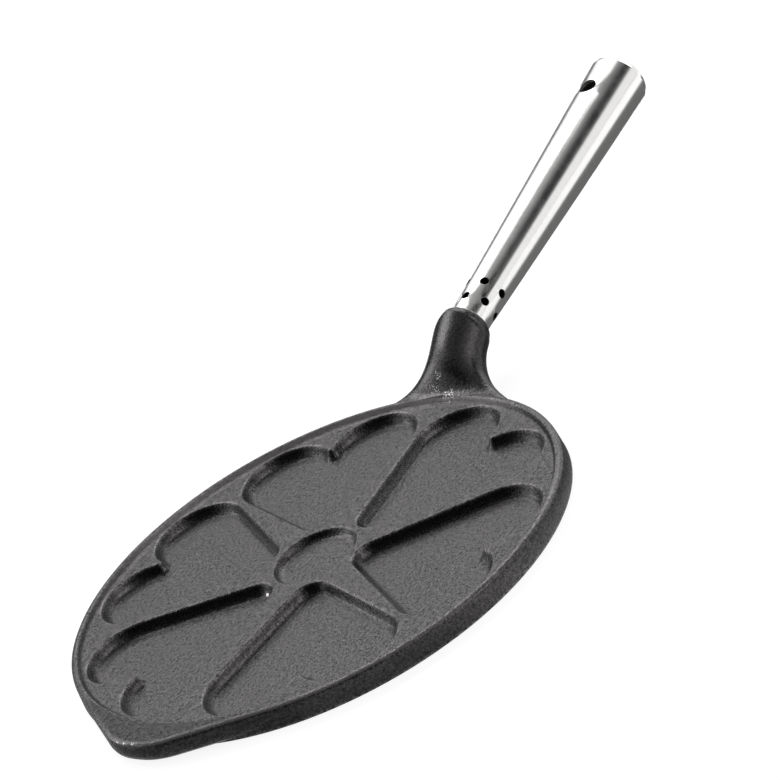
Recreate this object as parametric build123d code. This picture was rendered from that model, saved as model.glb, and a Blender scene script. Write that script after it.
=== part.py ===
"""Heart pancake pan: a round cast iron plate with heart cavities and a hollow steel handle.

Frame: origin at the middle of the flat base, +Z up, +X along the handle. Millimetres.
"""
import os
from math import acos, asin, atan2, cos, degrees, hypot, pi, radians, sin, sqrt, tan

from build123d import *

os.makedirs("parts", exist_ok=True)

# Plate
PLATE_R = 115.0          # outside radius of the round plate
FLOOR_T = 2.8            # iron under the heart cavities
HEART_DEPTH = 5.3        # heart cavities below the land
CENTRE_DEPTH = 3.6       # round middle cavity below the land
RIM_STEP = 2.0           # rim top above the land
RIM_W = 3.0              # width of the rim's top
RIM_SLOPE = 1.3          # run of the rim's inner slope
RIM_EDGE_R = 2.2         # rounding of the rim's outer top edge
RIM_EDGE_FACETS = 3      # facets in this rounding
WALL_LEAN = 5.0          # draft of the plate's outer wall, wider at the base, degrees
BASE_CHAMFER = 0.4       # chamfer of the base's edge

# Cavities
HEART_COUNT = 6
HEART_LAND = 2.4         # land between neighbouring hearts at their widest
RIM_LAND = 1.3           # land between a lobe and the rim's slope
LOBE_OVERLAP = 0.9       # how far a heart's two lobe circles pass their middle line
TIP_R = 10.4             # rounding of a heart's inner tip
CUSP_R = 1.0             # rounding of the cusp between the lobes
CENTRE_R = 19.9          # round middle cavity, at the land
CENTRE_LAND = 2.4        # land between the middle cavity and the tips
WALL_DRAFT = 28.0        # lean of the cavity walls, degrees
FLOOR_FILLET = 2.4       # between cavity wall and floor
FLOOR_FACETS = 2         # facets in this fillet
LAND_FILLET = 0.6        # between cavity wall and land
LAND_FACETS = 1          # facets in this fillet

# Pouring lip
LIP_ANGLE = 174.4        # direction of the lip, degrees from the handle
LIP_REACH = 11.5         # lip tip beyond the plate's edge
LIP_TIP_HALF = 10.9      # half width of the tip, corners not rounded
LIP_CORNER_R = 36.0      # blunt corners that leave the tip almost an arc
LIP_UNDER_Z = 0.8        # underside of the lip above the base
LIP_UNDER_R = 3.0        # rounding of the underside's edge
LIP_UNDER_FACETS = 3     # facets in this rounding

# Handle line, from the middle of the boss face
BOSS_REACH = 33.0        # boss face beyond the plate's edge
BOSS_Z = 24.9            # middle of the boss face above the base
HANDLE_TILT = 8.25       # rise of the handle, degrees
BOSS_R = 12.2
BOSS_ROUND = 3.3         # rounding of the boss face
BOSS_FACETS = 4          # facets in this rounding
BOSS_RUN = 4.4           # straight boss behind its face, down to the neck

# Neck, from inside the rim up to the boss
NECK_INSET = 7.0         # neck's root inside the plate's edge
NECK_LEAD_IN = 15.4      # length over which the neck leaves the plate level
NECK_LEAD_OUT = 15.9     # length over which the neck levels out into the boss
NECK_OUT_SLOPE = 23.5    # slope of the neck at the boss, degrees
NECK_ROOT_HALF_H = 4.6   # half height at the root
# share of the way up, width beside the boss radius, share of the growth to the boss height
NECK_STATIONS = (
    (0.00, 26.0, 0.00),
    (0.10, 23.4, 0.06),
    (0.22, 16.1, 0.20),
    (0.36, 9.1, 0.56),
    (0.52, 4.0, 0.86),
    (0.71, 1.5, 0.93),
    (1.00, 0.0, 1.00),
)

# Handle tube
HANDLE_LEN = 174.0       # boss face to closed end
TUBE_R_BOSS = 9.3        # outside radius at the boss face
TUBE_R_END = 14.9        # outside radius where the end cap starts
TUBE_WALL = 1.5
TUBE_SEAT = 5.0          # tube inside the boss socket
SOCKET_GAP = 0.15        # between tube and socket
CAP_ROUND = 4.0          # rounding of the closed end
CAP_FACETS = 4           # facets in this rounding
VENT_D = 4.0
VENT_COUNT = 6           # in each ring
VENT_FIRST = 8.8         # first ring from the boss face
VENT_PITCH = 10.0        # between the rings
HANG_D = 9.0
HANG_FROM_END = 23.2     # middle of the hanging hole from the closed end

# Fixing inside the handle
STUD_R = 4.0
STUD_BLIND = 9.5         # stud inside the boss, below the socket floor
STUD_HOLE_SPARE = 0.5    # blind hole beyond the stud
STUD_CHAMFER = 0.8
STUD_PROUD = 3.0         # stud beyond the threaded insert
INSERT_LEN = 10.0
INSERT_CHAMFER = 0.8
WASHER_T = 2.0
WASHER_W = 3.0           # width of the washer's ring
WASHER_GAP = 0.2         # between washer and stud
WASHER_SLIT = 1.6

# Worked out from the sizes above
LAND_Z = FLOOR_T + HEART_DEPTH
RIM_Z = LAND_Z + RIM_STEP
RIM_FOOT_R = PLATE_R - RIM_W - RIM_SLOPE
SOCKET_DEPTH = TUBE_SEAT + WASHER_T
TUBE_STRAIGHT = HANDLE_LEN - CAP_ROUND
TUBE_TAPER = (TUBE_R_END - TUBE_R_BOSS) / TUBE_STRAIGHT
TILT = radians(HANDLE_TILT)
HANDLE_DIR = Vector(cos(TILT), 0, sin(TILT))
BOSS_FACE = Vector(PLATE_R + BOSS_REACH, 0, BOSS_Z)
HANDLE_PLANE = Plane(origin=BOSS_FACE, x_dir=(-sin(TILT), 0, cos(TILT)), z_dir=HANDLE_DIR)
CUT_SPARE = 1.0          # how far a cutter runs past the face that it opens


def revolved(points):
    """Solid of revolution about Z from (radius, height) points."""
    return revolve(make_face(Polyline(*[(r, 0, z) for r, z in points], close=True)), Axis.Z)


def on_handle(shape):
    """Move a shape made along Z onto the handle line, measured from the boss face."""
    return HANDLE_PLANE.location * shape


def tube_r(along):
    """Outside radius of the handle tube at a distance from the boss face."""
    return TUBE_R_BOSS + TUBE_TAPER * along


def rounding(radius, lean_from, lean_to, facets):
    """Facets of a rounding, as (height, lean from vertical) steps; leans in degrees."""
    leans = [radians(lean_from + (lean_to - lean_from) * i / facets) for i in range(facets + 1)]
    steps = []
    for a, b in zip(leans, leans[1:]):
        height = radius * abs(sin(b) - sin(a))
        run = radius * abs(cos(a) - cos(b))
        steps.append((height, degrees(atan2(run, height))))
    return steps


def stack(outline, z, steps, up):
    """Solid that grows up (1) or down (-1) from an outline at height z, narrowing by each step.

    The outline is a function that returns its face, moved inwards all round by an inset.
    """
    layers = []
    inset = 0.0
    for height, lean in steps:
        face = Pos(0, 0, z) * outline(inset)
        layers.append(extrude(face, amount=height, dir=(0, 0, up), taper=lean))
        inset += height * tan(radians(lean))
        z += up * height
    return layers[0] + layers[1:]


def domed(radius, low, high, round_r, facets):
    """Cylinder along Z between two heights with its top edge rounded."""
    points = [(0, high)]
    r, z = radius - round_r, high
    for height, lean in reversed(rounding(round_r, 0, 90, facets)):
        points.append((r, z))
        z -= height
        r += height * tan(radians(lean))
    return revolved(points + [(radius, low), (0, low)])


# Cavities

def lobe_circle():
    """Radius and centre of a heart's lobe circle.

    The circle touches the land along the rim and the land beside the next heart, and passes
    the heart's own middle line by LOBE_OVERLAP, which gives a quadratic for its radius.
    """
    half = pi / HEART_COUNT
    reach = RIM_FOOT_R - RIM_LAND
    a = (1 + cos(half)) / sin(half)
    b = (HEART_LAND / 2 - LOBE_OVERLAP * cos(half)) / sin(half)
    qa = a * a
    qb = 2 * a * b - 2 * LOBE_OVERLAP + 2 * reach
    qc = b * b + LOBE_OVERLAP ** 2 - reach ** 2
    r = (-qb + sqrt(qb * qb - 4 * qa * qc)) / (2 * qa)
    return r, a * r + b, r - LOBE_OVERLAP


def heart_face(inset=0.0):
    """Heart outline, its tip towards the plate's middle."""
    lobe_r, lobe_x, lobe_y = lobe_circle()
    tip_x = CENTRE_R + CENTRE_LAND + TIP_R
    side = degrees(atan2(lobe_y, lobe_x - tip_x)
                   + asin((lobe_r - TIP_R) / hypot(lobe_x - tip_x, lobe_y)))
    normal = side + 90
    cusp_x = lobe_x + sqrt((lobe_r + CUSP_R) ** 2 - lobe_y ** 2)
    turn = degrees(atan2(-lobe_y, cusp_x - lobe_x))
    tip = CenterArc((tip_x, 0), TIP_R - inset, normal, 360 - 2 * normal)
    lobe = CenterArc((lobe_x, lobe_y), lobe_r - inset, normal, turn - normal)
    cusp = CenterArc((cusp_x, 0), CUSP_R + inset, 180 + turn, -2 * turn)
    other_lobe = mirror(lobe, Plane.XZ)
    upper = Line(tip @ 0, lobe @ 0)
    lower = Line(tip @ 1, other_lobe @ 0)
    return make_face([tip, upper, lobe, cusp, other_lobe, lower])


def centre_face(inset=0.0):
    """Outline of the round middle cavity."""
    return make_face(CenterArc((0, 0), CENTRE_R - inset, 0, 360))


def cavity_cutter(outline, depth):
    """Cutter for a cavity: rounded at the land, with leaning walls, rounded at the floor."""
    mouth = Pos(0, 0, LAND_Z) * outline()
    return extrude(mouth, amount=CUT_SPARE) + stack(outline, LAND_Z, cavity_steps(depth), -1)


def cavity_steps(depth):
    """Heights and leans of a cavity's facets, from the land down to the floor."""
    land = rounding(LAND_FILLET, 90, WALL_DRAFT, LAND_FACETS)
    floor = rounding(FLOOR_FILLET, WALL_DRAFT, 90, FLOOR_FACETS)
    wall = depth - sum(height for height, lean in land + floor)
    return land + [(wall, WALL_DRAFT)] + floor


def heart_angles():
    """Directions of the hearts; the handle lies midway between two of them."""
    step = 360 / HEART_COUNT
    return [step * (i + 0.5) for i in range(HEART_COUNT)]


# Casting

def plate_face(inset=0.0):
    """Outline of the plate with its pouring lip: two sides tangent to the rim, a blunt tip."""
    tip_x = PLATE_R + LIP_REACH
    spread = degrees(atan2(LIP_TIP_HALF, tip_x) + acos(PLATE_R / hypot(tip_x, LIP_TIP_HALF)))
    half = LIP_TIP_HALF - inset * tan(radians(spread) / 2)
    rim = CenterArc((0, 0), PLATE_R - inset, spread, 360 - 2 * spread)
    sides = Polyline(rim @ 1, (tip_x - inset, -half), (tip_x - inset, half), rim @ 0)
    face = make_face([rim, sides])
    face = fillet(face.vertices().group_by(Axis.X)[-1], LIP_CORNER_R - inset)
    return Rot(0, 0, LIP_ANGLE) * face


def plate_blank():
    """Plate and lip up to the rim's top, still solid, with their outer edges rounded."""
    edge_z = RIM_Z - RIM_EDGE_R
    lip_z = LIP_UNDER_Z + LIP_UNDER_R
    top = stack(plate_face, edge_z, rounding(RIM_EDGE_R, 0, 90, RIM_EDGE_FACETS), 1)
    wall = [(edge_z - lip_z, -WALL_LEAN)]
    lip = stack(plate_face, edge_z, wall + rounding(LIP_UNDER_R, 0, 90, LIP_UNDER_FACETS), -1)
    return plate_disc(edge_z, lip_z) + lip + top


def plate_disc(edge_z, top_z):
    """Lower part of the round plate, whose wall widens from the rim's edge to the base."""
    lean = tan(radians(WALL_LEAN))
    top_r = PLATE_R + (edge_z - top_z) * lean
    low_r = PLATE_R + (edge_z - BASE_CHAMFER) * lean
    return revolved([(0, 0), (low_r - BASE_CHAMFER, 0), (low_r, BASE_CHAMFER),
                     (top_r, top_z), (0, top_z)])


def neck_blank():
    """Neck that flares out of the rim and climbs to the boss, and the boss behind its face."""
    joint = BOSS_FACE - HANDLE_DIR * BOSS_RUN
    root = Vector(PLATE_R - NECK_INSET, 0, RIM_Z / 2)
    out = radians(NECK_OUT_SLOPE)
    spine = Bezier(root, root + Vector(NECK_LEAD_IN, 0, 0),
                   joint - Vector(NECK_LEAD_OUT, 0, NECK_LEAD_OUT * tan(out)), joint)
    sections = []
    for share, widening, growth in NECK_STATIONS:
        along = HANDLE_DIR if share == 1 else spine.tangent_at(share)
        plane = Plane(origin=spine.position_at(share), x_dir=(0, 1, 0), z_dir=along)
        half_h = NECK_ROOT_HALF_H + (BOSS_R - NECK_ROOT_HALF_H) * growth
        sections.append(plane * Ellipse(BOSS_R + widening, half_h))
    neck = loft(sections)
    boss = domed(BOSS_R, -BOSS_RUN, 0, BOSS_ROUND, BOSS_FACETS)
    return neck + on_handle(boss)


def recess_cutter():
    """Everything above the land inside the rim's sloping inner side."""
    slope_top = RIM_FOOT_R + RIM_SLOPE * (RIM_STEP + CUT_SPARE) / RIM_STEP
    top = RIM_Z + CUT_SPARE
    return revolved([(0, LAND_Z), (RIM_FOOT_R, LAND_Z), (slope_top, top), (0, top)])


def socket_cutter():
    """Tapered socket for the tube and the blind tapped hole for the stud."""
    floor = -SOCKET_DEPTH
    hole_end = floor - STUD_BLIND - STUD_HOLE_SPARE
    mouth_r = tube_r(CUT_SPARE) + SOCKET_GAP
    floor_r = tube_r(floor) + SOCKET_GAP
    return on_handle(revolved([(0, hole_end), (STUD_R, hole_end), (STUD_R, floor),
                               (floor_r, floor), (mouth_r, CUT_SPARE), (0, CUT_SPARE)]))


def pan_casting():
    """Plate, rim, lip, neck and boss in one piece of cast iron, with its cavities."""
    body = plate_blank() + neck_blank() - recess_cutter()
    heart = cavity_cutter(heart_face, HEART_DEPTH)
    for angle in heart_angles():
        body -= Rot(0, 0, angle) * heart
    return body - cavity_cutter(centre_face, CENTRE_DEPTH) - socket_cutter()


# Handle

def handle_shell():
    """Tapered steel tube with two staggered rings of vents and a hanging hole."""
    low, high = -TUBE_SEAT, TUBE_STRAIGHT
    shell = revolved([(tube_r(low) - TUBE_WALL, low), (tube_r(low), low),
                      (tube_r(high), high), (tube_r(high) - TUBE_WALL, high)])
    reach = 2 * TUBE_R_END
    vent = Rot(0, 90, 0) * Cylinder(VENT_D / 2, reach,
                                    align=(Align.CENTER, Align.CENTER, Align.MIN))
    step = 360 / VENT_COUNT
    for ring in range(2):
        height = VENT_FIRST + ring * VENT_PITCH
        for i in range(VENT_COUNT):
            shell -= Pos(0, 0, height) * Rot(0, 0, step * (i + ring / 2)) * vent
    hang = Rot(0, 90, 0) * Cylinder(HANG_D / 2, 2 * reach)
    return on_handle(shell - Pos(0, 0, HANDLE_LEN - HANG_FROM_END) * hang)


def handle_end_cap():
    """Dished cap that closes the wide end of the tube."""
    r = tube_r(TUBE_STRAIGHT)
    inner_round = CAP_ROUND - TUBE_WALL
    outer = domed(r, TUBE_STRAIGHT, HANDLE_LEN, CAP_ROUND, CAP_FACETS)
    inner = domed(r - TUBE_WALL, TUBE_STRAIGHT - CUT_SPARE, HANDLE_LEN - TUBE_WALL,
                  inner_round, CAP_FACETS // 2)
    return on_handle(outer - inner)


def handle_insert():
    """Threaded plug welded into the tube's narrow end."""
    low = -TUBE_SEAT
    high = low + INSERT_LEN
    c = INSERT_CHAMFER
    low_r, high_r = tube_r(low) - TUBE_WALL, tube_r(high) - TUBE_WALL
    shoulder = high - c
    shoulder_r = tube_r(shoulder) - TUBE_WALL
    return on_handle(revolved([(STUD_R, low), (low_r, low), (shoulder_r, shoulder),
                               (high_r - c, high), (STUD_R, high)]))


def handle_stud():
    """Stud that joins the boss's tapped hole to the insert."""
    low = -SOCKET_DEPTH - STUD_BLIND
    high = -TUBE_SEAT + INSERT_LEN + STUD_PROUD
    c = STUD_CHAMFER
    return on_handle(revolved([(0, low), (STUD_R - c, low), (STUD_R, low + c),
                               (STUD_R, high - c), (STUD_R - c, high), (0, high)]))


def lock_washer():
    """Split spring washer between the socket's floor and the tube's end."""
    inner = STUD_R + WASHER_GAP
    outer = inner + WASHER_W
    ring = revolved([(inner, -SOCKET_DEPTH), (outer, -SOCKET_DEPTH),
                     (outer, -TUBE_SEAT), (inner, -TUBE_SEAT)])
    slit = Pos(outer, 0, -TUBE_SEAT) * Box(2 * outer, WASHER_SLIT, 3 * WASHER_T)
    return on_handle(ring - slit)


PIECES = {
    "pan_casting": pan_casting,
    "handle_shell": handle_shell,
    "handle_end_cap": handle_end_cap,
    "handle_insert": handle_insert,
    "handle_stud": handle_stud,
    "lock_washer": lock_washer,
}

for name, make in PIECES.items():
    export_step(make(), f"parts/{name}.step")
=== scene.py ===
"""Heart pancake pan: materials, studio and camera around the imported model. Metres."""
import math
from types import SimpleNamespace

import bpy
from mathutils import Matrix, Vector


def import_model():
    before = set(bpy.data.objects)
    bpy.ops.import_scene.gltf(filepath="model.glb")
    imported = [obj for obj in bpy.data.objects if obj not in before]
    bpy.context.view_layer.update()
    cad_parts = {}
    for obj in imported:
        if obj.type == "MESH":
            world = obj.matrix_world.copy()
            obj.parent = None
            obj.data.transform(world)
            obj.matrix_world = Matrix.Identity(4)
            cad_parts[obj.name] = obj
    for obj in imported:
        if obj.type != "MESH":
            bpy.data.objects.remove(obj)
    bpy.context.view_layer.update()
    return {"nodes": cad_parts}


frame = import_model()
NODES = frame["nodes"]

# Places on the casting
MOUTH_Z = 0.0078              # foot of the edge rounding at the cavity mouths
LAND_Z = 0.0080               # just under the land between the cavities
RIM_INSIDE_R = 0.1118         # rim's inner top edge
NECK_X = 0.115                # where the neck leaves the plate
LIP_X = -0.095                # the pouring lip lies beyond this
HEARTS_FROM, HEARTS_TO = 0.0215, 0.1100
# Fixed directions on the pan, from its middle; they don't follow the camera in other views
NEAR_SIDE = (-0.669, -0.743, 0.0)         # toward the photo's camera
FAR_SIDE = (0.766, 0.643, 0.0)            # where the photo shows the rim's pale ring
LIP_STREAKS = math.radians(56.6)
FADE = 0.0005

# Edge rounding that only the shading has
CRISP_EDGE = 0.0005
SOFT_EDGE = 0.0010

# Sand-cast grain of the iron: cells per metre, height of the bumps
FINE_GRAIN, GRAIN, LUMPS = 1500.0, 700.0, 150.0
GRAIN_HEIGHT = 0.0006
STREAK_GRAIN = 900.0

# Iron: base colours. Dull to shiny follows the painted sheen, and worn is edge wear; the near
# edge's highlight, the far ring's light and the glints are painted light
IRON_DULL = (0.0035, 0.0034, 0.0034, 1)
IRON_SHINY = (0.012, 0.0117, 0.0117, 1)
IRON_EDGE_HIGHLIGHT = (0.105, 0.10, 0.10, 1)
IRON_RING_LIGHT = (0.20, 0.192, 0.191, 1)
IRON_WORN = (0.30, 0.295, 0.29, 1)
IRON_GLINT = (0.45, 0.445, 0.44, 1)
IRON_TINT = (1.0, 0.952, 0.962, 1)

# Sheen of the iron, as a share of the land's sheen: below 1 it is painted shade, above 1 painted
# highlight
NECK_SHEEN = 0.80
LIP_SHEEN = 0.25
CREST_HIGHLIGHT = 1.45
# painted shade: the dark line along the foot of the rim
CORNER_SHEEN = 0.40           # dark line along the foot of the rim
CORNER_FROM, CORNER_TO = 0.1099, 0.1118
# painted shade and highlight inside the hearts, as sheen: height, share
WALL_SHEEN = ((0.00280, 1.0), (0.00286, 0.70), (0.00300, 0.58), (0.0034, 0.62), (0.0039, 0.95),
              (0.0045, 1.35), (0.0051, 1.15), (0.0056, 0.85), (0.0061, 0.68), (0.0065, 0.70),
              (0.0070, 1.00), (0.0074, 1.40), (0.0079, 1.45), (0.0081, 1.0))

# Pale ring of painted light along the foot of the far rim: radius, share
FAR_RING_LIGHT = ((0.1066, 0.0), (0.1073, 0.34), (0.1100, 0.40), (0.1107, 0.85), (0.1112, 1.0),
            (0.1118, 1.0), (0.1121, 0.0))
FAR_FROM, FAR_TO = 0.036, 0.092

# Painted glints, spots of bright metal: place, reach, share that shines
PAINTED_GLINTS = (((-0.0209, 0.0147, 0.0038), 0.0022, 1.15),
             ((0.1178, 0.0020, 0.0180), 0.0060, 0.95),
             ((0.1150, 0.0050, 0.0130), 0.0080, 0.92),
             ((0.1120, -0.0040, 0.0105), 0.0110, 0.92),
             ((-0.1240, 0.0210, 0.0098), 0.0022, 1.05),
             ((-0.1247, 0.0160, 0.0098), 0.0022, 1.02),
             ((-0.1252, 0.0110, 0.0098), 0.0022, 1.05))

# Handle: the tube lies along X once its tilt is turned back
HANDLE_TILT = math.radians(8.25)
TUBE_START = 0.1500
TUBE_AXIS = 0.0034            # height of the tube's axis in that turned frame
TUBE_RADIUS = 0.0093
TUBE_WIDENING = 0.0322        # growth of the radius over the length
VENT_RINGS = ((0.0088, math.pi / 6), (0.0188, 0.0))   # place along the tube, turn
VENT_HALF_STEP = math.pi / 6
# Painted shade: the vents are painted black out to this distance from their middle
VENT_EDGE = 0.0023            # a vent looks black out to here
BRUSH_LINES = 4200.0
STEEL_DARK = (0.74, 0.735, 0.725, 1)
STEEL_LIGHT = (0.84, 0.835, 0.825, 1)
# Inside the tube: painted shade, near black by the boss, turning to painted light toward the
# end's hole
INSIDE_SHADE_NEAR_BOSS = (0.004, 0.004, 0.004, 1)
INSIDE_LIGHT_NEAR_END = (0.50, 0.50, 0.49, 1)
INSIDE_FROM, INSIDE_TO = 0.06, 0.12
FIXING_DARK = (0.36, 0.355, 0.34, 1)
FIXING_LIGHT = (0.46, 0.455, 0.44, 1)

# Camera
CAMERA_AT = Vector((-0.8419, -0.9382, 0.6190))
CAMERA_RIGHT = Vector((0.49982, -0.75694, -0.42097))
CAMERA_DOWN = Vector((-0.58101, 0.06743, -0.81110))
CAMERA_AHEAD = Vector((0.64234, 0.64999, -0.40609))
CAMERA_LENS = 152.49
SENSOR = 36.0
IMAGE_PX = 780
CAMERA_SHIFT_PX = 0.5

# Studio
PAN_MIDDLE = Vector((0.1, 0.0, 0.0))
HANDLE_MIDDLE = Vector((0.232, 0.0, 0.037))
HANDLE_CARD_HALF = 0.38
FLOOR_Z = -0.0003
FLOOR_HALF = 12.0
FLOOR_LIT = (0.80, 0.80, 0.80, 1)         # what light and reflections meet
FLOOR_SEEN = (0.22, 0.22, 0.22, 1)        # what the camera sees, under its own glow
FLOOR_GLOW_SEEN, FLOOR_GLOW_MIRRORED = 0.88, 0.42
SKY_LIGHT, SKY_SEEN = 0.30, 1.0
WHITE = (1, 1, 1, 1)
# name, azimuth, elevation, distance, width, height, watts
SOFTBOXES = (("key_back", 48, 46, 1.6, 2.2, 0.9, 19.5),
             ("left_high", 98, 50, 1.5, 0.45, 0.45, 2.5),
             ("back_high", 3, 45, 0.8, 0.29, 0.20, 0.14),
             ("left_side", 100, 18, 1.5, 1.0, 0.7, 6.0),
             ("right_side", 283, 28, 1.5, 0.8, 0.9, 4.0),
             ("right_back", 345, 28, 1.3, 0.5, 0.5, 1.4))
# name, azimuth, elevation, distance, half width, half height, tone
FAR_CARDS = (("dark_left_front", 193, 28, 1.5, 1.40, 1.0, 0.0),
             ("dim_back_line", 52, 8, 1.5, 0.60, 0.26, 0.20),
             ("dark_left_back", 75, 13, 1.45, 0.40, 0.40, 0.10))
# cards by place, for the reflections in the photo's view; tones are (share of the way up, grey)
EVEN_CEILING = ((0.0, 0.45), (1.0, 0.45))
HANDLE_BAND = ((0.0, 0.42), (0.28, 0.30), (0.43, 0.14), (0.56, 0.02), (0.74, 0.01),
               (0.88, 0.10), (1.0, 0.9))
# painted shade on the floor around the plate, with brighter painted bands, seen only in
# reflections
FLOOR_BY_PLATE = ((0.0, 0.2), (0.069, 0.3), (0.09, 0.6), (0.128, 0.9), (0.248, 0.84),
                  (0.425, 0.66), (0.617, 0.70), (0.70, 1.1), (0.776, 1.6), (0.83, 1.2),
                  (0.893, 0.7), (0.93, 0.15), (1.0, 0.1))
FLOOR_BEHIND = ((0.0, 0.10), (1.0, 0.14))
FLOOR_BEHIND_NECK = ((0.0, 0.15), (1.0, 0.5))
# painted shadow of the handle on the floor, seen only in reflections
UNDER_HANDLE = ((0.0, 0.8), (0.18, 0.18), (1.0, 0.15))


# Node helpers

def tree_of(owner):
    """Emptied node tree of a material or a world."""
    owner.use_nodes = True
    tree = owner.node_tree
    tree.nodes.clear()
    return tree


def put(tree, kind, sockets=None, **settings):
    """Adds a node; sockets maps input names or indexes to values or to output sockets."""
    made = tree.nodes.new(kind)
    for key, value in settings.items():
        setattr(made, key, value)
    for key, value in (sockets or {}).items():
        fill(tree, made.inputs[key], value)
    return made


def fill(tree, socket, value):
    """Links an output socket to an input, or sets a plain value on it."""
    if isinstance(value, bpy.types.NodeSocket):
        tree.links.new(value, socket)
    else:
        socket.default_value = value


def maths(tree, operation, a, b):
    return put(tree, "ShaderNodeMath", {0: a, 1: b}, operation=operation).outputs[0]


def product(tree, first, *others):
    for other in others:
        first = maths(tree, "MULTIPLY", first, other)
    return first


def vector_maths(tree, operation, a, b=None):
    sockets = {0: a} if b is None else {0: a, 1: b}
    return put(tree, "ShaderNodeVectorMath", sockets, operation=operation).outputs


def axes_of(tree, vector):
    return put(tree, "ShaderNodeSeparateXYZ", {"Vector": vector}).outputs


def mapped(tree, vector, **sockets):
    """Vector turned by Rotation or stretched by Scale."""
    inputs = {"Vector": vector, **sockets}
    return put(tree, "ShaderNodeMapping", inputs).outputs["Vector"]


def noise(tree, where, scale, detail=2.0, rough=0.5):
    made = put(tree, "ShaderNodeTexNoise",
               {"Vector": where, "Scale": scale, "Detail": detail, "Roughness": rough})
    return made.outputs["Fac"]


def spread(tree, value, low, high, to_low=0.0, to_high=1.0, clamp=True):
    """Value moved from one range to another; as a rule it stops at the ends."""
    made = put(tree, "ShaderNodeMapRange",
               {"Value": value, "From Min": low, "From Max": high,
                "To Min": to_low, "To Max": to_high})
    made.clamp = clamp
    return made.outputs["Result"]


def band(tree, value, start, end):
    """1 between start and end, with a short fade at both."""
    return product(tree, spread(tree, value, start, start + FADE),
                   spread(tree, value, end - FADE, end, 1.0, 0.0))


def grey_ramp(tree, value, stops):
    """Grey by value; stops are (value, grey) in rising order."""
    low, high = stops[0][0], stops[-1][0]
    made = put(tree, "ShaderNodeValToRGB", {"Fac": spread(tree, value, low, high)})
    elements = made.color_ramp.elements
    while len(elements) < len(stops):
        elements.new(0.5)
    for element, (place, grey) in zip(elements, stops):
        element.position = (place - low) / (high - low)
        element.color = (grey, grey, grey, 1)
    return made.outputs["Color"]


def mix(tree, kind, factor, a, b):
    """Blend of two colours (RGBA) or vectors (VECTOR)."""
    made = put(tree, "ShaderNodeMix", {"Factor": factor}, data_type=kind)
    ends = [socket for socket in made.inputs if socket.type == kind][-2:]
    fill(tree, ends[0], a)
    fill(tree, ends[1], b)
    return next(socket for socket in made.outputs if socket.type == kind)


def blend_colour(tree, factor, a, b):
    return mix(tree, "RGBA", factor, a, b)


def bump(tree, height, distance, strength, normal=None):
    sockets = {"Height": height, "Distance": distance, "Strength": strength}
    if normal is not None:
        sockets["Normal"] = normal
    return put(tree, "ShaderNodeBump", sockets).outputs["Normal"]


def finish_with(tree, surface, kind="Material"):
    """Closes a tree with its output node."""
    out = put(tree, "ShaderNodeOutput" + kind)
    tree.links.new(surface.outputs[0], out.inputs["Surface"])


def radius_of(tree, where, kept=(1.0, 1.0, 0.0)):
    """Distance from an axis through the origin; kept is 1 for the axes across it."""
    flat = vector_maths(tree, "MULTIPLY", where, kept)["Vector"]
    return vector_maths(tree, "LENGTH", flat)["Value"]


# Cast iron

def soft_edges(tree, radius, height):
    """Normal with small edge radii at the cavity mouths and larger ones everywhere else."""
    crisp = put(tree, "ShaderNodeBevel", {"Radius": CRISP_EDGE}, samples=4).outputs["Normal"]
    soft = put(tree, "ShaderNodeBevel", {"Radius": SOFT_EDGE}, samples=6).outputs["Normal"]
    low = spread(tree, height, MOUTH_Z - 0.001, MOUTH_Z - 0.002)
    outside = spread(tree, radius, RIM_INSIDE_R, RIM_INSIDE_R + 0.001)
    mixed = mix(tree, "VECTOR", maths(tree, "MAXIMUM", low, outside), crisp, soft)
    return vector_maths(tree, "NORMALIZE", mixed)["Vector"]


def casting_places(tree):
    """What the iron's looks depend on: place, slope, grain, and shares for neck and lip."""
    where = put(tree, "ShaderNodeTexCoord").outputs["Object"]
    along, _, height = axes_of(tree, where)
    radius = radius_of(tree, where)
    edge = soft_edges(tree, radius, height)
    tilt = axes_of(tree, edge)["Z"]
    return SimpleNamespace(
        where=where, along=along, height=height, radius=radius, edge=edge, tilt=tilt,
        fine=noise(tree, where, FINE_GRAIN, 1.0, 0.6),
        grain=noise(tree, where, GRAIN, 2.0, 0.6),
        sloped=spread(tree, maths(tree, "ABSOLUTE", tilt, 0.0), 0.99, 0.93),
        neck=spread(tree, along, NECK_X - 0.006, NECK_X + 0.010),
        lip=product(tree, spread(tree, along, LIP_X, LIP_X - 0.006),
                    spread(tree, radius, RIM_INSIDE_R, RIM_INSIDE_R + 0.0008)))


def less_on_slopes(tree, at, on_slopes, off_neck):
    """1 on flat skin, on_slopes on slopes, and off_neck less than that on the neck."""
    return maths(tree, "SUBTRACT", spread(tree, at.sloped, 0.0, 1.0, 1.0, on_slopes),
                 maths(tree, "MULTIPLY", at.neck, off_neck))


def iron_skin(tree, at):
    """Height of the sand grain and the normal that it gives."""
    height = maths(tree, "ADD", maths(tree, "MULTIPLY", at.grain, 0.5),
                   maths(tree, "MULTIPLY", at.fine, 0.5))
    lumpy = bump(tree, noise(tree, at.where, LUMPS), GRAIN_HEIGHT, 0.25, at.edge)
    return height, bump(tree, height, GRAIN_HEIGHT, less_on_slopes(tree, at, 0.50, 0.28), lumpy)


def wall_sheen(tree, at):
    """Painted shade and highlight by height in the hearts, painted shade at the rim's foot, 1
    elsewhere.
    """
    top = max(share for _, share in WALL_SHEEN)
    ramp = grey_ramp(tree, at.height, [(place, share / top) for place, share in WALL_SHEEN])
    change = maths(tree, "SUBTRACT", maths(tree, "MULTIPLY", ramp, top), 1.0)
    change = product(tree, change, band(tree, at.radius, HEARTS_FROM, HEARTS_TO))
    corner = band(tree, at.radius, CORNER_FROM, CORNER_TO)
    return product(tree, maths(tree, "ADD", change, 1.0),
                   spread(tree, corner, 0.0, 1.0, 1.0, CORNER_SHEEN))


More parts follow.
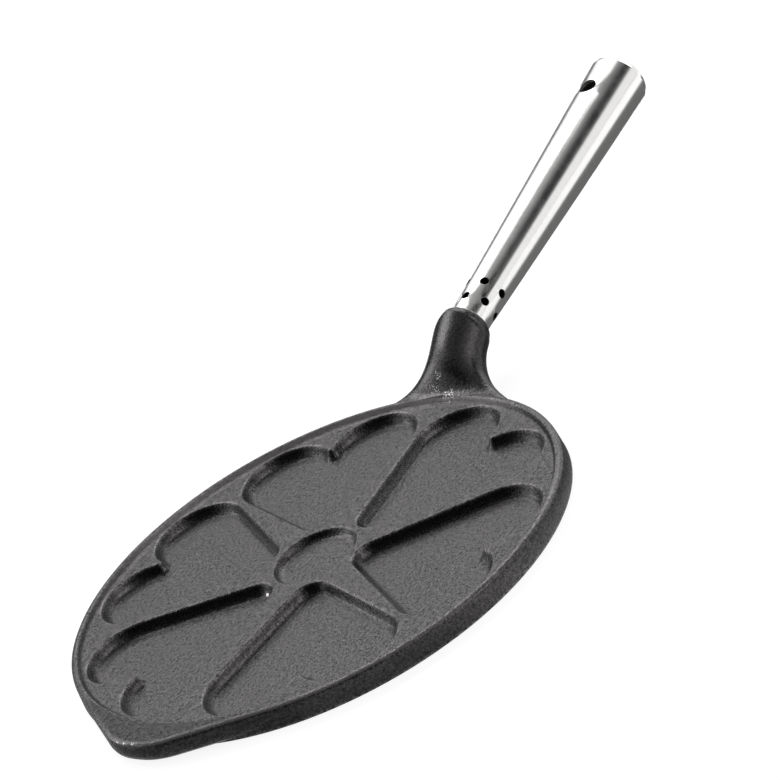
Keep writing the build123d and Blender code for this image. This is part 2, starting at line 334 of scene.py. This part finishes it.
def painted_sheen_share(tree, at):
    """Share of the land's sheen on the lip, the neck and the cavity walls, as painted shade and
    highlight.
    """
    turned = mapped(tree, at.where, Rotation=(0.0, 0.0, LIP_STREAKS))
    drawn = mapped(tree, turned, Scale=(0.2, 1.0, 1.0))
    streak = spread(tree, noise(tree, drawn, STREAK_GRAIN, 2.0, 0.6), 0.35, 0.65, 0.40, 0.80)
    lip = spread(tree, product(tree, at.lip, streak), 0.0, 1.0, 1.0, LIP_SHEEN)
    neck = spread(tree, at.neck, 0.0, 1.0, 1.0, NECK_SHEEN)
    return product(tree, lip, neck, wall_sheen(tree, at))


def near_edge(tree, at):
    """1 on the outer edge of the rim, on the side that faces the photo's camera alone."""
    # Where a highlight is painted along the rim's outer edge, on the near side alone.
    near = vector_maths(tree, "DOT_PRODUCT", at.where, NEAR_SIDE)["Value"]
    return product(tree, spread(tree, near, 0.02, 0.06),
                   spread(tree, at.radius, RIM_INSIDE_R + 0.0006, RIM_INSIDE_R + 0.0012))


def between_tilts(tree, at, upper, lower):
    """1 for slopes between two tilts; each is given by where it starts and where it is full."""
    return product(tree, spread(tree, at.tilt, *upper), spread(tree, at.tilt, *lower))


def far_ring_light(tree, at):
    """Share of the pale ring of painted light along the foot of the rim, on the far side alone.
    """
    side = vector_maths(tree, "DOT_PRODUCT", at.where, FAR_SIDE)["Value"]
    ring = product(tree, grey_ramp(tree, at.radius, FAR_RING_LIGHT),
                   spread(tree, side, FAR_FROM, FAR_TO),
                   spread(tree, at.height, LAND_Z - 0.0003, LAND_Z))
    return product(tree, ring, spread(tree, at.grain, 0.3, 0.7, 0.75, 1.25))


def painted_glints(tree, at):
    """Share of bright metal in the few spots where glints are painted."""
    total = 0.0
    for place, reach, share in PAINTED_GLINTS:
        away = vector_maths(tree, "DISTANCE", at.where, place)["Value"]
        near = spread(tree, away, reach, reach * 0.3, 0.0, share)
        spots = spread(tree, maths(tree, "ADD", near, at.fine), 1.47, 1.60)
        total = maths(tree, "MAXIMUM", spots, total)
    return total


def worn_edges(tree, at):
    """Share of worn metal on sharp convex edges, broken up by the grain."""
    inner = put(tree, "ShaderNodeAmbientOcclusion", {"Distance": 0.0015}, samples=4,
                inside=True, only_local=True).outputs["AO"]
    return product(tree, spread(tree, inner, 0.88, 0.58), spread(tree, at.grain, 0.38, 0.62))


def cast_iron():
    """Black seasoned iron with a sand-cast grain.

    The base colour is nearly black. What shows as grey is what the iron mirrors of this
    studio, so its tone holds for this light and isn't the written colour.
    The sheen is painted by place: shade on the neck, the lip and the foot of the rim, and lines
    of shade and highlight along the cavity walls. Convex edges are worn. Glints are painted on a
    few spots, a highlight on the rim's near outer edge and a pale ring of light along the far
    rim, on the sides where the photo shows them. All were fitted to that view.
    """
    mat = bpy.data.materials.new("cast_iron_sand_grain")
    tree = tree_of(mat)
    at = casting_places(tree)
    height, normal = iron_skin(tree, at)
    speck = product(tree, spread(tree, height, 0.36, 0.64, -0.45, 0.45),
                    less_on_slopes(tree, at, 0.65, 0.25))
    # The sheen: the grain's speckle times painted shade and highlight by place.
    sheen = product(tree, maths(tree, "ADD", speck, 0.5), painted_sheen_share(tree, at))
    # Painted highlight along the near rim's outer edge: a lighter colour and a stronger sheen
    # there alone.
    edge = near_edge(tree, at)
    crest_highlight = product(tree, between_tilts(tree, at, (0.998, 0.985), (0.86, 0.93)), edge)
    edge_highlight = product(tree, between_tilts(tree, at, (0.99, 0.93), (0.45, 0.68)), edge,
                     spread(tree, at.along, -0.03, -0.09, 0.3, 1.0))
    worn, glint = worn_edges(tree, at), painted_glints(tree, at)
    colour = blend_colour(tree, sheen, IRON_DULL, IRON_SHINY)
    for share, tone in ((far_ring_light(tree, at), IRON_RING_LIGHT), (edge_highlight, IRON_EDGE_HIGHLIGHT),
                        (worn, IRON_WORN), (glint, IRON_GLINT)):
        colour = blend_colour(tree, share, colour, tone)
    rough = maths(tree, "SUBTRACT", spread(tree, at.fine, 0.3, 0.7, 0.37, 0.46),
                  maths(tree, "MULTIPLY", at.sloped, 0.16))
    finish_with(tree, put(tree, "ShaderNodeBsdfPrincipled", {
        "Base Color": colour, "Roughness": rough, "Normal": normal,
        "Metallic": maths(tree, "MAXIMUM", maths(tree, "MULTIPLY", worn, 0.6), glint),
        "Specular IOR Level": product(tree, sheen,
                                      spread(tree, crest_highlight, 0.0, 1.0, 1.0, CREST_HIGHLIGHT)),
        "Specular Tint": IRON_TINT}))
    return mat


# Steel

def vent_distance(tree, from_axis, reach):
    """Distance over the tube's skin to the middle of the nearest vent."""
    _, across, up = axes_of(tree, from_axis)
    angle = maths(tree, "ARCTAN2", up, across)
    nearest = 1.0
    for first, turn in VENT_RINGS:
        around = maths(tree, "PINGPONG", maths(tree, "ADD", angle, turn), VENT_HALF_STEP)
        side = maths(tree, "MULTIPLY", around, TUBE_RADIUS + 0.0005)
        ahead = maths(tree, "SUBTRACT", reach, TUBE_START + first)
        offset = put(tree, "ShaderNodeCombineXYZ", {"X": side, "Y": ahead}).outputs[0]
        away = vector_maths(tree, "LENGTH", offset)["Value"]
        nearest = maths(tree, "MINIMUM", away, nearest)
    return nearest


def tube_inside(tree, along, reach):
    """1 on the inside of the tube and in the vents, where shade is painted."""
    from_axis = vector_maths(tree, "SUBTRACT", along, (0.0, 0.0, TUBE_AXIS))["Vector"]
    skin = spread(tree, reach, TUBE_START, TUBE_START + 0.1,
                  TUBE_RADIUS, TUBE_RADIUS + 0.1 * TUBE_WIDENING, clamp=False)
    depth = maths(tree, "SUBTRACT", skin, radius_of(tree, from_axis, (0.0, 1.0, 1.0)))
    vents = spread(tree, vent_distance(tree, from_axis, reach), VENT_EDGE, VENT_EDGE - 0.0002)
    return maths(tree, "MAXIMUM", spread(tree, depth, 0.0002, 0.0008), vents)


def brushed_steel():
    """Satin steel, brushed around the tube, so that reflections spread along the handle."""
    mat = bpy.data.materials.new("handle_steel_brushed")
    tree = tree_of(mat)
    where = put(tree, "ShaderNodeTexCoord").outputs["Object"]
    along = mapped(tree, where, Rotation=(0.0, HANDLE_TILT, 0.0))
    reach = axes_of(tree, along)["X"]
    inside = tube_inside(tree, along, reach)
    lines = noise(tree, mapped(tree, along, Scale=(1.0, 0.03, 0.03)), BRUSH_LINES, 3.0, 0.7)
    cloud = noise(tree, along, 90.0)
    outside_tone = blend_colour(tree, spread(tree, lines, 0.3, 0.7), STEEL_DARK, STEEL_LIGHT)
    # Painted shade inside the tube and the vents, lightening toward the end where light comes
    # in.
    inside_painted_tone = blend_colour(tree, spread(tree, reach, TUBE_START + INSIDE_FROM,
                                            TUBE_START + INSIDE_TO),
                               INSIDE_SHADE_NEAR_BOSS, INSIDE_LIGHT_NEAR_END)
    rough = maths(tree, "ADD", spread(tree, lines, 0.3, 0.7, 0.10, 0.17),
                  spread(tree, cloud, 0.3, 0.7, 0.0, 0.04))
    rough = maths(tree, "ADD", rough, maths(tree, "MULTIPLY", inside, 0.35))
    finish_with(tree, put(tree, "ShaderNodeBsdfPrincipled", {
        "Base Color": blend_colour(tree, inside, outside_tone, inside_painted_tone),
        "Roughness": rough, "Normal": bump(tree, lines, 0.00003, 0.25), "Metallic": 1.0}))
    return mat


def turned_steel():
    """Plain turned steel of the stud, the insert and the washer."""
    mat = bpy.data.materials.new("fixing_steel_turned")
    tree = tree_of(mat)
    where = put(tree, "ShaderNodeTexCoord").outputs["Object"]
    spots = noise(tree, where, 900.0, 3.0, 0.6)
    colour = blend_colour(tree, spread(tree, spots, 0.3, 0.7), FIXING_DARK, FIXING_LIGHT)
    finish_with(tree, put(tree, "ShaderNodeBsdfPrincipled", {
        "Base Color": colour, "Roughness": spread(tree, spots, 0.3, 0.7, 0.35, 0.5),
        "Normal": bump(tree, spots, 0.00004, 0.4), "Metallic": 1.0}))
    return mat


def dress(material, *names):
    for name in names:
        for slot in NODES[name].material_slots:
            slot.material = material


# Studio

def toward(azimuth, elevation):
    """Unit vector from the pan to a place in the studio; degrees, azimuth from the handle."""
    a, e = math.radians(azimuth), math.radians(elevation)
    return Vector((math.cos(e) * math.cos(a), math.cos(e) * math.sin(a), math.sin(e)))


def quad(name, centre, right, up, half_w, half_h, material):
    """Flat rectangle around a centre."""
    right, up = Vector(right).normalized(), Vector(up).normalized()
    corners = [Vector(centre) + right * (half_w * i) + up * (half_h * j)
               for i, j in ((-1, -1), (1, -1), (1, 1), (-1, 1))]
    mesh = bpy.data.meshes.new(name)
    mesh.from_pydata(corners, [], [(0, 1, 2, 3)])
    mesh.update()
    mesh.materials.append(material)
    ob = bpy.data.objects.new(name, mesh)
    bpy.context.scene.collection.objects.link(ob)
    return ob


def floor():
    """White floor with a pale shadow; where it is unshaded it renders white."""
    mat = bpy.data.materials.new("floor_white")
    tree = tree_of(mat)
    rays = put(tree, "ShaderNodeLightPath").outputs
    seen = rays["Is Camera Ray"]
    mirrored = maths(tree, "MAXIMUM", rays["Is Glossy Ray"], rays["Is Transmission Ray"])
    lit = put(tree, "ShaderNodeBsdfDiffuse",
              {"Color": blend_colour(tree, seen, FLOOR_LIT, FLOOR_SEEN)})
    strength = maths(tree, "ADD", maths(tree, "MULTIPLY", seen, FLOOR_GLOW_SEEN),
                     maths(tree, "MULTIPLY", mirrored, FLOOR_GLOW_MIRRORED))
    glow = put(tree, "ShaderNodeEmission", {"Color": WHITE, "Strength": strength})
    finish_with(tree, put(tree, "ShaderNodeAddShader", {0: lit.outputs[0], 1: glow.outputs[0]}))
    quad("floor", (0, 0, FLOOR_Z), (1, 0, 0), (0, 1, 0), FLOOR_HALF, FLOOR_HALF, mat)


def world():
    """White background for what is seen, plain grey light for what is lit."""
    made = bpy.data.worlds.new("studio")
    bpy.context.scene.world = made
    tree = tree_of(made)
    rays = put(tree, "ShaderNodeLightPath").outputs
    seen = maths(tree, "MAXIMUM", rays["Is Camera Ray"], rays["Is Glossy Ray"])
    seen = maths(tree, "MAXIMUM", seen, rays["Is Transmission Ray"])
    strength = spread(tree, seen, 0.0, 1.0, SKY_LIGHT, SKY_SEEN)
    finish_with(tree, put(tree, "ShaderNodeBackground", {"Color": WHITE, "Strength": strength}),
                "World")


def softbox(name, azimuth, elevation, distance, width, height, watts):
    """Rectangular lamp that faces the pan from a direction."""
    side = toward(azimuth, elevation)
    data = bpy.data.lights.new(name, "AREA")
    data.shape = "RECTANGLE"
    data.size, data.size_y, data.energy = width, height, watts
    ob = bpy.data.objects.new(name, data)
    ob.location = PAN_MIDDLE + side * distance
    ob.rotation_mode = "QUATERNION"
    ob.rotation_quaternion = (-side).to_track_quat("-Z", "Y")
    bpy.context.scene.collection.objects.link(ob)


def card(name, middle, right, up, half_w, half_h, tones):
    """Card that only reflections see; tones are (share of the way up, grey) stops."""
    mat = bpy.data.materials.new(name)
    tree = tree_of(mat)
    place = put(tree, "ShaderNodeTexCoord").outputs["Object"]
    offset = vector_maths(tree, "SUBTRACT", place, middle)["Vector"]
    height = vector_maths(tree, "DOT_PRODUCT", offset, up)["Value"]
    colour = grey_ramp(tree, height, [((2 * share - 1) * half_h, tone) for share, tone in tones])
    finish_with(tree, put(tree, "ShaderNodeEmission", {"Color": colour, "Strength": 1.0}))
    ob = quad(name, middle, right, up, half_w, half_h, mat)
    ob.visible_camera = False
    ob.visible_diffuse = False
    ob.visible_shadow = False


def far_card(name, azimuth, elevation, distance, half_w, half_h, tone):
    """Even card that faces the pan from a direction."""
    side = toward(azimuth, elevation)
    right = side.cross(Vector((0, 0, 1))).normalized()
    card(name, PAN_MIDDLE + side * distance, right, right.cross(side), half_w, half_h,
         ((0.0, tone), (1.0, tone)))


def handle_card(name, turn, distance, half_w, tones):
    """Strip beside the handle, seen in it at a turn around its line from the camera's side."""
    along = Vector((math.cos(HANDLE_TILT), 0.0, math.sin(HANDLE_TILT)))
    view = (CAMERA_AT - HANDLE_MIDDLE).normalized()
    ahead = -view.dot(along)
    near = (view + along * ahead).normalized()
    below = along.cross(near)
    a = math.radians(turn)
    out = near * math.cos(a) + below * math.sin(a)
    across = below * math.cos(a) - near * math.sin(a)
    reach = ahead / math.sqrt(1.0 - ahead * ahead)
    middle = HANDLE_MIDDLE + out * distance + along * (distance * reach)
    card(name, middle, along, across, HANDLE_CARD_HALF, half_w, tones)


def placed_cards():
    """Cards over the pan and on the floor around it, seen only in reflections; some paint shade.
    """
    x, y = Vector((1, 0, 0)), Vector((0, 1, 0))
    card("dim_ceiling", PAN_MIDDLE + Vector((0, 0, 1.6)), x, y, 0.75, 0.75, EVEN_CEILING)
    handle_card("handle_dark_band", -18, 1.0, 0.70, HANDLE_BAND)
    # Painted shade around the plate, with brighter painted bands, seen only in reflections.
    card("floor_by_plate", Vector((0.0, 0.0, 0.0004)), Vector(NEAR_SIDE),
         Vector((0.743, -0.669, 0)), 0.140, 0.135, FLOOR_BY_PLATE)
    card("floor_behind", Vector((0.06, 0.27, 0.03)), x, Vector((0, 0.976, 0.217)),
         0.22, 0.14, FLOOR_BEHIND)
    card("floor_behind_neck", Vector((0.20, 0.045, 0.0007)), x, y, 0.10, 0.045,
         FLOOR_BEHIND_NECK)
    # Painted shadow of the handle on the floor, seen only in reflections.
    card("painted_handle_shadow", Vector((0.307, -0.025, 0.001)), Vector((0.985, -0.174, 0)),
         Vector((0.174, 0.985, 0)), 0.20, 0.045, UNDER_HANDLE)


def camera():
    """The photo's camera."""
    data = bpy.data.cameras.new("camera")
    data.lens, data.sensor_width, data.sensor_fit = CAMERA_LENS, SENSOR, "HORIZONTAL"
    data.shift_x, data.shift_y = -CAMERA_SHIFT_PX / IMAGE_PX, CAMERA_SHIFT_PX / IMAGE_PX
    data.clip_start, data.clip_end = 0.05, 60.0
    ob = bpy.data.objects.new("camera", data)
    turn = Matrix((CAMERA_RIGHT, -CAMERA_DOWN, -CAMERA_AHEAD)).transposed().to_4x4()
    ob.matrix_world = Matrix.Translation(CAMERA_AT) @ turn
    bpy.context.scene.collection.objects.link(ob)
    bpy.context.scene.camera = ob


dress(cast_iron(), "pan_casting")
dress(brushed_steel(), "handle_shell", "handle_end_cap")
dress(turned_steel(), "handle_insert", "handle_stud", "lock_washer")

floor()
world()
camera()
for box in SOFTBOXES:
    softbox(*box)
for far in FAR_CARDS:
    far_card(*far)
placed_cards()

settings = bpy.context.scene.view_settings
settings.view_transform = "Standard"
